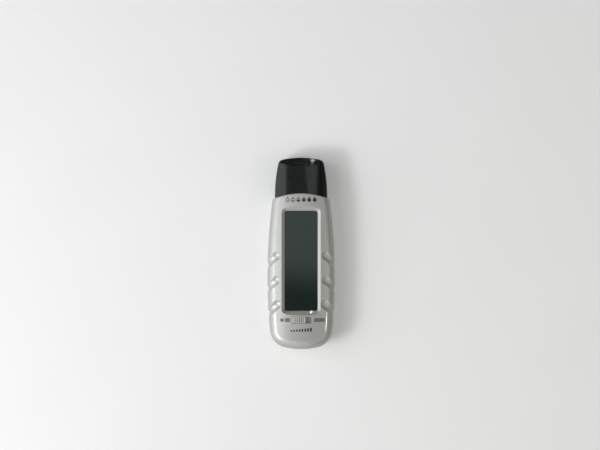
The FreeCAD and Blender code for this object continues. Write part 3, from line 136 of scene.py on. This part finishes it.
# ---- node helpers --------------------------------------------------------------------------
class Sheet:
    """A node tree, with short forms for the nodes that are used here."""

    def __init__(self, tree):
        self.nodes = tree.nodes
        self.links = tree.links

    def feed(self, socket, value):
        """Gives a socket a link, a colour or a number."""
        if isinstance(value, bpy.types.NodeSocket):
            self.links.new(value, socket)
        elif isinstance(value, tuple):
            socket.default_value = (*value, 1)
        else:
            socket.default_value = value

    def split(self, vector):
        """A vector's X, Y and Z."""
        node = self.nodes.new("ShaderNodeSeparateXYZ")
        self.feed(node.inputs["Vector"], vector)
        return node.outputs

    def maths(self, operation, first, second):
        node = self.nodes.new("ShaderNodeMath")
        node.operation = operation
        self.feed(node.inputs[0], first)
        self.feed(node.inputs[1], second)
        return node.outputs[0]

    def ranged(self, value, low, high, from_low=0.3, from_high=0.7):
        """Takes a value from one span to another, and holds it there."""
        node = self.nodes.new("ShaderNodeMapRange")
        for socket, number in (
            ("From Min", from_low),
            ("From Max", from_high),
            ("To Min", low),
            ("To Max", high),
            ("Value", value),
        ):
            self.feed(node.inputs[socket], number)
        return node.outputs["Result"]


class Finish(Sheet):
    """A node material on the Principled shader, with its patterns in the frame's metres."""

    def __init__(self, name, colour, roughness, **sockets):
        self.material = bpy.data.materials.new(name)
        self.material.use_nodes = True
        super().__init__(self.material.node_tree)
        self.shader = self.nodes["Principled BSDF"]
        self.shaded(Base_Color=colour, Roughness=roughness, **sockets)
        self.place = self.nodes.new("ShaderNodeTexCoord").outputs["Object"]
        self.colour = colour
        self.roughness = roughness
        self.normal = None

    def shaded(self, **sockets):
        """Feeds the shader's sockets, by their names with an underscore for each space."""
        for socket, value in sockets.items():
            self.feed(self.shader.inputs[socket.replace("_", " ")], value)
        return self

    def stretched(self, scale):
        mapping = self.nodes.new("ShaderNodeMapping")
        mapping.inputs["Scale"].default_value = scale
        self.feed(mapping.inputs["Vector"], self.place)
        return mapping.outputs["Vector"]

    def noise(self, size, detail=3, vector=None):
        """Noise whose features are about size metres across."""
        node = self.nodes.new("ShaderNodeTexNoise")
        node.inputs["Scale"].default_value = 1 / size
        node.inputs["Detail"].default_value = detail
        node.inputs["Roughness"].default_value = 0.55
        self.feed(node.inputs["Vector"], vector or self.place)
        return node.outputs["Fac"]

    def flakes(self, size):
        """The distance from the middle of the nearest flake, in flakes."""
        node = self.nodes.new("ShaderNodeTexVoronoi")
        node.inputs["Scale"].default_value = 1 / size
        self.feed(node.inputs["Vector"], self.place)
        return node.outputs["Distance"]

    def blended(self, share, first, second):
        """Colour between two others, each a colour or a socket."""
        # the node's sockets for colours share their names with others, so they go by number
        node = self.nodes.new("ShaderNodeMix")
        node.data_type = "RGBA"
        self.feed(node.inputs["Factor"], share)
        self.feed(node.inputs[6], first)
        self.feed(node.inputs[7], second)
        return node.outputs[2]

    def painted(self, colour):
        return self.shaded(Base_Color=colour)

    def mottled(self, size, spread, tint=WHITE):
        """Varies the colour a little, over patches of a size."""
        dark = tuple(channel * (1 - spread) for channel in self.colour)
        pale = tuple(channel * (1 + spread) * t for channel, t in zip(self.colour, tint))
        return self.painted(self.blended(self.ranged(self.noise(size), 0, 1), dark, pale))

    def worn(self, size, spread, smoothest=0.02):
        """Varies the roughness, over patches of a size."""
        low = max(self.roughness - spread, smoothest)
        return self.shaded(Roughness=self.ranged(self.noise(size, 5), low, self.roughness + spread))

    def shaped(self, node):
        """Takes the surface's normal from a node."""
        self.normal = node.outputs["Normal"]
        return self.shaded(Normal=self.normal)

    def bumped(self, value, depth):
        """Adds relief of a depth in metres, on top of any that is there."""
        node = self.nodes.new("ShaderNodeBump")
        node.inputs["Distance"].default_value = depth
        self.feed(node.inputs["Height"], value)
        if self.normal:
            self.feed(node.inputs["Normal"], self.normal)
        return self.shaped(node)

    def softened(self, radius):
        """Rounds sharp edges to the eye, as a mould does."""
        node = self.nodes.new("ShaderNodeBevel")
        node.samples = 4
        node.inputs["Radius"].default_value = radius
        return self.shaped(node)

    def grained(self, size, depth):
        return self.bumped(self.noise(size), depth)

    def scratched(self, depth):
        """Hairline handling marks, mostly along the meter."""
        hairs = self.noise(0.5 * MM, 2, vector=self.stretched((1.0, 0.06, 0.4)))
        return self.bumped(self.ranged(hairs, 0, 1, 0.62, 0.7), depth)

    def brushed(self, size, depth, axis):
        """Fine parallel lines along an axis, 0 to 2."""
        scale = [1.0, 1.0, 1.0]
        scale[axis] = BRUSH_STRETCH
        return self.bumped(self.noise(size, 4, vector=self.stretched(scale)), depth)


# ---- materials -----------------------------------------------------------------------------
def pearl(name):
    """Silver-white pearl plastic under a clear gloss."""
    finish = Finish(
        name, (0.48, 0.49, 0.468), 0.36, Metallic=0.25, Coat_Weight=0.6, Coat_Roughness=0.05
    )
    finish.softened(0.12 * MM)
    sparkle = finish.ranged(finish.flakes(0.16 * MM), 0, 1, 0.1, 0.7)
    sparkling = finish.blended(sparkle, (0.43, 0.44, 0.42), (0.545, 0.555, 0.53))
    clouds = finish.ranged(finish.noise(22 * MM, 4), 0, 1, 0.35, 0.65)
    clouded = finish.blended(clouds, (0.46, 0.465, 0.435), (0.505, 0.515, 0.50))
    finish.painted(finish.blended(0.5, sparkling, clouded)).worn(5 * MM, 0.05)
    return finish.grained(6 * MM, 0.006 * MM).scratched(0.0003 * MM).material


def black_gloss(name):
    """Polished black plastic, faintly green, with hairline handling marks."""
    finish = Finish(
        name, (0.0035, 0.006, 0.0052), 0.15, Coat_Weight=0.25, Coat_Roughness=0.04, IOR=1.41
    )
    finish.softened(0.15 * MM).mottled(14 * MM, 0.15).worn(3 * MM, 0.05)
    return finish.grained(9 * MM, 0.006 * MM).scratched(0.0006 * MM).material


def plastic(name, colour, roughness, grain=0.25 * MM, depth=0.004 * MM, bevel=0.05 * MM):
    """Moulded plastic with a fine spark-eroded grain."""
    finish = Finish(name, colour, roughness)
    finish.softened(bevel).mottled(6 * MM, 0.05).worn(2.5 * MM, 0.06).grained(grain, depth)
    return finish.material


def knob_plastic(name, crown_radius, face):
    """Off-white plastic, with painted shade in the grooves between the ribs."""
    finish = Finish(name, (0.62, 0.63, 0.59), 0.42)
    place = finish.split(finish.place)
    fall = finish.maths("MULTIPLY", place["X"], place["X"])
    fall = finish.maths("DIVIDE", fall, 2 * crown_radius)
    level = finish.maths("ADD", place["Z"], fall)
    # painted shade: the knob gets darker the lower it lies under the ribs' tops, following the
    # crown
    unshaded = finish.ranged(level, 0, 1, face - GROOVE_SHADE_FULL, face - GROOVE_SHADE_END)
    unshaded = finish.maths("MULTIPLY", unshaded, finish.ranged(finish.noise(1.2 * MM), 0.9, 1))
    finish.painted(finish.blended(unshaded, (0.10, 0.10, 0.09), finish.colour))
    finish.softened(0.08 * MM).worn(2.5 * MM, 0.06)
    return finish.grained(0.25 * MM, 0.004 * MM).material


def metal(name, colour, roughness, axis):
    """Drawn or turned metal, with its lines along one axis and a little tarnish."""
    finish = Finish(name, colour, roughness, Metallic=1.0)
    finish.mottled(3 * MM, 0.10, tint=(1.0, 0.98, 0.93)).worn(1.2 * MM, 0.10)
    return finish.brushed(0.12 * MM, 0.0015 * MM, axis).material


def smoked_lens(name):
    """The window's dark green pane, with a little dust and a faint waviness."""
    finish = Finish(
        name,
        (0.002, 0.014, 0.010),
        0.05,
        Coat_Weight=0.35,
        Coat_Roughness=0.03,
        IOR=1.52,
        Alpha=0.80,
        Specular_Tint=(0.86, 1.0, 1.0),
    )
    finish.mottled(25 * MM, 0.12).worn(8 * MM, 0.03)
    dust = finish.ranged(finish.noise(0.3 * MM, 2), 0, 1, 0.66, 0.78)
    return finish.bumped(dust, 0.0008 * MM).grained(30 * MM, 0.02 * MM).material


def display_film(name):
    """The display's front film: grey-green, with nothing shown on it."""
    finish = Finish(name, (0.016, 0.060, 0.044), 0.35)
    finish.mottled(18 * MM, 0.10).worn(4 * MM, 0.05)
    return finish.grained(0.12 * MM, 0.001 * MM).material


def clear_glass(name, colour):
    finish = Finish(name, colour, 0.05, IOR=1.52, Alpha=0.4)
    return finish.mottled(10 * MM, 0.04).worn(5 * MM, 0.02).material


def circuit_board(name):
    """Green solder mask over tracks, which show as a lighter, raised pattern."""
    finish = Finish(name, (0.012, 0.11, 0.045), 0.3, Coat_Weight=0.3)
    brick = finish.nodes.new("ShaderNodeTexBrick")
    brick.inputs["Scale"].default_value = 1 / (7 * MM)
    brick.inputs["Mortar Size"].default_value = 0.045
    brick.inputs["Mortar Smooth"].default_value = 0.1
    finish.feed(brick.inputs["Vector"], finish.place)
    patches = finish.ranged(finish.noise(9 * MM, 1), 0, 1, 0.48, 0.5)
    copper = finish.maths("MULTIPLY", brick.outputs["Fac"], patches)
    finish.painted(finish.blended(copper, finish.colour, (0.03, 0.20, 0.08)))
    finish.worn(4 * MM, 0.05).bumped(copper, 0.03 * MM)
    return finish.grained(0.4 * MM, 0.003 * MM).material


def cell_sleeve(name):
    """A dark printed sleeve, with a copper band at the end nearer the pins."""
    finish = Finish(name, (0.015, 0.016, 0.02), 0.22, Metallic=0.5, Coat_Weight=0.4)
    band_y = CELL_HIGH.y - SLEEVE_BAND * (CELL_HIGH.y - CELL_LOW.y)
    band = finish.ranged(finish.split(finish.place)["Y"], 0, 1, band_y, band_y + 0.1 * MM)
    finish.painted(finish.blended(band, finish.colour, (0.62, 0.30, 0.13)))
    return finish.worn(3 * MM, 0.06).grained(7 * MM, 0.01 * MM).material


def rubber(name, colour):
    return plastic(name, colour, roughness=0.7, grain=0.15 * MM, depth=0.006 * MM)


def ink(name):
    """Pad-printed ink, a little uneven in colour and gloss."""
    finish = Finish(name, (0.018, 0.019, 0.021), 0.5)
    return finish.mottled(0.5 * MM, 0.25).worn(0.8 * MM, 0.08).material


# ---- finishes for every CAD node -----------------------------------------------------------
STEEL = (0.56, 0.57, 0.58)
BRASS = (0.70, 0.50, 0.22)
TIN = (0.66, 0.66, 0.63)
NODE_FINISHES = {
    "front_case": pearl("pearl_front"),
    "back_case": pearl("pearl_back"),
    "battery_door": pearl("pearl_door"),
    "pin_cap": black_gloss("cap_black"),
    "window_lens": smoked_lens("smoked_lens"),
    "lcd_front_polariser": display_film("display_film"),
    "lcd_upper_glass": clear_glass("display_glass_upper", (0.7, 0.78, 0.73)),
    "lcd_lower_glass": clear_glass("display_glass_lower", (0.65, 0.74, 0.69)),
    "lcd_rear_polariser": plastic("rear_film", (0.28, 0.33, 0.27), 0.45),
    "lcd_holder": plastic("holder_plastic", (0.10, 0.10, 0.10), 0.5),
    "main_board": circuit_board("board_mask"),
    "controller_chip": plastic("epoxy_drop", (0.012, 0.012, 0.013), 0.25),
    "amplifier_chip": plastic("chip_body", (0.02, 0.02, 0.02), 0.5),
    "trimmers": plastic("trimmer_blue", (0.03, 0.12, 0.45), 0.35),
    "crystal": metal("crystal_can", STEEL, 0.2, axis=0),
    "capacitor": plastic("capacitor_sleeve", (0.03, 0.04, 0.10), 0.3),
    "chip_resistors": plastic("resistor_body", (0.03, 0.03, 0.035), 0.4),
    "ceramic_capacitors": plastic("ceramic_body", (0.40, 0.29, 0.18), 0.45),
    "switch_knob": knob_plastic("knob_white", CROWN_RADIUS, KNOB_HIGH.z),
    "switch_slider": plastic("slider_white", (0.60, 0.60, 0.56), 0.45),
    "switch_frame": metal("switch_steel", (0.36, 0.37, 0.36), 0.38, axis=0),
    "switch_base": plastic("switch_phenolic", (0.06, 0.035, 0.02), 0.5),
    "switch_terminals": metal("terminal_tin", TIN, 0.35, axis=2),
    "battery_link_contact": metal("link_nickel", STEEL, 0.3, axis=0),
    "pin_head": plastic("head_black", (0.014, 0.015, 0.015), 0.38, bevel=0.15 * MM),
    "pin_nuts": metal("nut_brass", BRASS, 0.3, axis=0),
    "case_screws": metal("case_screw_zinc", STEEL, 0.35, axis=0),
    "board_screws": metal("board_screw_zinc", STEEL, 0.35, axis=0),
}
for side in ("left", "right"):
    NODE_FINISHES |= {
        f"zebra_strip_{side}": rubber(f"zebra_rubber_{side}", (0.10, 0.10, 0.11)),
        f"battery_{side}": cell_sleeve(f"cell_sleeve_{side}"),
        f"battery_spring_{side}": metal(f"spring_nickel_{side}", STEEL, 0.25, axis=1),
        f"battery_contact_{side}": metal(f"contact_nickel_{side}", STEEL, 0.3, axis=2),
        f"pin_bush_{side}": metal(f"bush_brass_{side}", BRASS, 0.25, axis=0),
        f"electrode_pin_{side}": metal(f"pin_steel_{side}", STEEL, 0.2, axis=1),
        f"pin_tag_{side}": metal(f"tag_tin_{side}", TIN, 0.35, axis=2),
    }

for node, material in NODE_FINISHES.items():
    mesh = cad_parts[node].data
    mesh.materials.clear()
    mesh.materials.append(material)


# ---- making pieces -------------------------------------------------------------------------
def placed(name, data):
    """An object in the scene, from its data."""
    thing = bpy.data.objects.new(name, data)
    bpy.context.scene.collection.objects.link(thing)
    return thing


def meshed(name, form, material):
    """An object in the scene, from a bmesh that is then freed."""
    mesh = bpy.data.meshes.new(name)
    form.to_mesh(mesh)
    form.free()
    mesh.materials.append(material)
    return placed(name, mesh)


def ink_piece(name, form, material, thickness, side):
    """A layer of ink that rides with the case, thickened to one side of its faces."""
    piece = meshed(name, form, material)
    thick = piece.modifiers.new("thickness", "SOLIDIFY")
    thick.thickness = thickness
    thick.offset = side
    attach(piece, "meter_body")


def ring_strips(outer, inner):
    """The band between two outlines of equal length, as quadrilaterals."""
    total = len(outer)
    return [
        [outer[n], outer[(n + 1) % total], inner[(n + 1) % total], inner[n]]
        for n in range(total)
    ]


# ---- prints on the face --------------------------------------------------------------------
def crown_height(x):
    return CROWN_TOP - CROWN_RADIUS + math.sqrt(CROWN_RADIUS**2 - x**2)


def print_piece(name, outlines):
    """One thin layer of ink that follows the crown, from flat outlines in metres."""
    form = bmesh.new()
    for outline in outlines:
        form.faces.new([form.verts.new((x, y, 0)) for x, y in outline])
    steps = int(max(abs(corner.co.x) for corner in form.verts) / PRINT_STEP)
    for step in range(-steps, steps + 1):
        everything = form.verts[:] + form.edges[:] + form.faces[:]
        cut = (step * PRINT_STEP, 0, 0)
        bmesh.ops.bisect_plane(form, geom=everything, plane_co=cut, plane_no=(1, 0, 0))
    for corner in form.verts:
        corner.co.z = min(crown_height(corner.co.x) + PRINT_LIFT, CROWN_TOP)
    bmesh.ops.triangulate(form, faces=form.faces[:])
    ink_piece(name, form, PRINT_INK, PRINT_THICKNESS, side=-1)


def rectangle(centre, width, height):
    x, y = centre
    return [
        (x - width / 2, y - height / 2),
        (x + width / 2, y - height / 2),
        (x + width / 2, y + height / 2),
        (x - width / 2, y + height / 2),
    ]


def circle_edge(centre, radius, steps=36):
    x, y = centre
    return [
        (x + radius * math.cos(angle), y + radius * math.sin(angle))
        for angle in (2 * math.pi * count / steps for count in range(steps))
    ]


def droplet_edge(centre, width, height, steps=32):
    """A drop with a round foot and a pointed top."""
    x, y = centre
    points = []
    for count in range(steps):
        angle = 2 * math.pi * count / steps
        across = math.sin(angle) * math.sin(angle / 2) ** DROP_TAPER
        points.append((x + across * width * DROP_SWELL, y + math.cos(angle) * height / 2))
    return points[::-1]


def below(outline, level):
    """The part of an outline under a level, for outlines with no overhangs."""
    kept = []
    for first, second in zip(outline, outline[1:] + outline[:1]):
        if first[1] <= level:
            kept.append(first)
        if (first[1] <= level) != (second[1] <= level):
            share = (level - first[1]) / (second[1] - first[1])
            kept.append((first[0] + share * (second[0] - first[0]), level))
    return kept


def droplet_scale(centre, count, pitch, width, height, line):
    """A row of drops that fill up from left to right: dry to wet."""
    outlines = []
    for number in range(count):
        x = centre[0] + (number - (count - 1) / 2) * pitch
        outer = droplet_edge((x, centre[1]), width, height)
        # the line is thicker at the point than at the foot
        inner = droplet_edge((x, centre[1] - line * 0.3), width - 2 * line, height - 2.6 * line)
        outlines += ring_strips(outer, inner)
        level = centre[1] - height / 2 + height * (number + 0.5) / count
        fill = below(inner, level)
        if len(fill) > 2:
            outlines.append(fill)
    return outlines


def log_end(centre, radius, line):
    """The end of a log: its bark and its heart, with a clear ring between them."""
    bark = ring_strips(circle_edge(centre, radius), circle_edge(centre, radius - line))
    return bark + [circle_edge(centre, radius - 1.7 * line)]


def plank(centre, width, height, gap):
    """A board seen from its face, with two lines of grain left clear."""
    x, y = centre
    strip = (height - 2 * gap) / 3
    return [
        rectangle((x + shift, y + row * (strip + gap)), width - 2 * abs(shift), strip)
        for row, shift in ((-1, 0.0), (0, gap), (1, 0.0))
    ]


def brickwork(centre, width, height, courses, bricks, gap):
    """Courses of bricks, every other one shifted by half a brick."""
    outlines = []
    course = (height + gap) / courses
    brick = (width + gap) / bricks
    start = centre[0] - width / 2
    for row in range(courses):
        y = centre[1] - height / 2 + course * (row + 0.5) - gap / 2
        shift = brick / 2 if row % 2 else 0.0
        for number in range(-1, bricks + 1):
            low = max(start + number * brick + shift, start)
            high = min(start + (number + 1) * brick + shift - gap, start + width)
            if high - low > gap:
                outlines.append(rectangle(((low + high) / 2, y), high - low, course - gap))
    return outlines


def rising_bars(centre, width, height, count, gap, lowest=0.4):
    """Bars that grow from left to right, the first a share of the last: how wet it is."""
    x, y = centre
    bar = (width + gap) / count - gap
    outlines = []
    for number in range(count):
        tall = height * (lowest + (1 - lowest) * number / (count - 1))
        spot = (x - width / 2 + bar / 2 + number * (bar + gap), y - height / 2 + tall / 2)
        outlines.append(rectangle(spot, bar, tall))
    return outlines


PRINT_INK = ink("print_ink")
DROPS = droplet_scale(
    (0, DROPS_Y), count=6, pitch=3.9 * MM, width=3.0 * MM, height=3.6 * MM, line=0.56 * MM
)
LOG = log_end((LOG_X, SWITCH_Y), radius=1.3 * MM, line=0.36 * MM)
PLANK = plank((PLANK_X, SWITCH_Y), width=3.8 * MM, height=2.3 * MM, gap=0.24 * MM)
BRICKS = brickwork(
    (BRICKS_X, SWITCH_Y), width=7.6 * MM, height=2.4 * MM, courses=3, bricks=4, gap=0.22 * MM
)
BARS = rising_bars((0, BARS_Y), width=15.4 * MM, height=2.7 * MM, count=8, gap=0.8 * MM)
print_piece("print_drops", DROPS)
print_piece("print_wood", LOG + PLANK)
print_piece("print_building", BRICKS)
print_piece("print_bars", BARS)


# ---- black mask under the edge of the lens -------------------------------------------------
def rounded_edge(low, high, corner, steps=8):
    """A rectangle with round corners and its middle at x = 0, from two of its corners."""
    points = []
    for turn, (x, y) in enumerate(
        ((high.x, high.y), (low.x, high.y), (low.x, low.y), (high.x, low.y))
    ):
        centre_x = x - math.copysign(corner, x)
        centre_y = y - corner if turn < 2 else y + corner
        for count in range(steps + 1):
            angle = math.pi / 2 * (turn + count / steps)
            points.append(
                (centre_x + corner * math.cos(angle), centre_y + corner * math.sin(angle))
            )
    return points


def window_mask():
    """A ring of black ink at the underside of the lens, round its clear part."""
    edge = Vector((MASK_EDGE, MASK_EDGE, 0))
    border = Vector((MASK_BORDER, MASK_BORDER, 0))
    outer = rounded_edge(LENS_LOW + edge, LENS_HIGH - edge, MASK_OUTER_CORNER)
    inner = rounded_edge(LENS_LOW + border, LENS_HIGH - border, MASK_INNER_CORNER)
    form = bmesh.new()
    height = LENS_LOW.z + MASK_LIFT
    for strip in ring_strips(outer, inner):
        form.faces.new([form.verts.new((x, y, height)) for x, y in strip])
    bmesh.ops.remove_doubles(form, verts=form.verts[:], dist=0.001 * MM)
    ink_piece("window_mask", form, ink("mask_ink"), MASK_THICKNESS, side=1)


window_mask()


# ---- studio --------------------------------------------------------------------------------
def pale_floor():
    form = bmesh.new()
    bmesh.ops.create_grid(form, x_segments=1, y_segments=1, size=FLOOR_REACH)
    finish = Finish("floor_paper", (0.88, 0.88, 0.88), 0.9, Specular_IOR_Level=0.1)
    finish.mottled(60 * MM, 0.01).grained(0.8 * MM, 0.01 * MM)
    seen = finish.nodes.new("ShaderNodeLightPath").outputs["Is Camera Ray"]
    glow = finish.maths("MULTIPLY", seen, FLOOR_GLOW)
    finish.shaded(Emission_Color=WHITE, Emission_Strength=glow)
    floor = meshed("floor", form, finish.material)
    floor.location.z = cad_low.z - FLOOR_GAP


def lamp(name, place, size, power, colour):
    """A rectangular soft light aimed at the meter."""
    light = bpy.data.lights.new(name, "AREA")
    light.shape = "RECTANGLE"
    light.size, light.size_y = size
    light.energy = power
    light.color = colour
    thing = placed(name, light)
    thing.location = place
    aim = Vector((0, 0, CASE_HIGH.z / 2)) - Vector(place)
    thing.rotation_mode = "QUATERNION"
    thing.rotation_quaternion = aim.to_track_quat("-Z", "Y")


class Sky(Sheet):
    """The nodes of the studio's world."""

    def shade(self, strength, colour=WHITE):
        node = self.nodes.new("ShaderNodeBackground")
        self.feed(node.inputs["Color"], colour)
        self.feed(node.inputs["Strength"], strength)
        return node.outputs[0]

    def profile(self, direction, stops):
        """Brightness along a direction, as a ramp from -1 to 1 through the stops."""
        curve = self.nodes.new("ShaderNodeValToRGB")
        ramp = curve.color_ramp
        while len(ramp.elements) < len(stops):
            ramp.elements.new(0.5)
        for element, (at, value) in zip(ramp.elements, stops):
            level = value * RAMP_SHARE
            element.position = (at + 1) / 2
            element.color = (level, level, level, 1)
        self.feed(curve.inputs["Fac"], self.ranged(direction, 0, 1, -1, 1))
        return curve.outputs["Color"]

    def chosen(self, share, first, second):
        """The first shade where the share is 0, and the second where it is 1."""
        node = self.nodes.new("ShaderNodeMixShader")
        self.feed(node.inputs["Fac"], share)
        self.feed(node.inputs[1], first)
        self.feed(node.inputs[2], second)
        return node.outputs[0]


def studio_world():
    """A plain even room for light, and a studio ceiling with a pale panel for reflections."""
    world = bpy.data.worlds.new("studio")
    world.use_nodes = True
    sky = Sky(world.node_tree)
    sky.nodes.clear()
    place = sky.split(sky.nodes.new("ShaderNodeTexCoord").outputs["Generated"])
    both = sky.maths("MULTIPLY", sky.profile(place["Y"], CEILING), sky.profile(place["X"], ACROSS))
    ceiling = sky.shade(sky.maths("MULTIPLY", both, 1 / RAMP_SHARE**2))
    rays = sky.nodes.new("ShaderNodeLightPath").outputs
    straight = sky.maths("MAXIMUM", rays["Is Camera Ray"], rays["Is Transmission Ray"])
    room = sky.chosen(rays["Is Glossy Ray"], sky.shade(ROOM_LIGHT, ROOM_COLOUR), ceiling)
    output = sky.nodes.new("ShaderNodeOutputWorld")
    sky.feed(output.inputs["Surface"], sky.chosen(straight, room, sky.shade(BACKDROP)))
    bpy.context.scene.world = world


def camera():
    data = bpy.data.cameras.new("camera")
    data.sensor_width = SENSOR_WIDTH
    data.lens = SENSOR_WIDTH * (CAMERA_HEIGHT + VIEW_DEPTH) / VIEW_WIDTH
    data.clip_start = CAMERA_NEAREST
    thing = placed("camera", data)
    thing.location = CAMERA_PLACE
    bpy.context.scene.camera = thing


pale_floor()
studio_world()
for name, facts in LAMPS.items():
    lamp(name, *facts)
camera()
bpy.context.scene.view_settings.view_transform = "Standard"
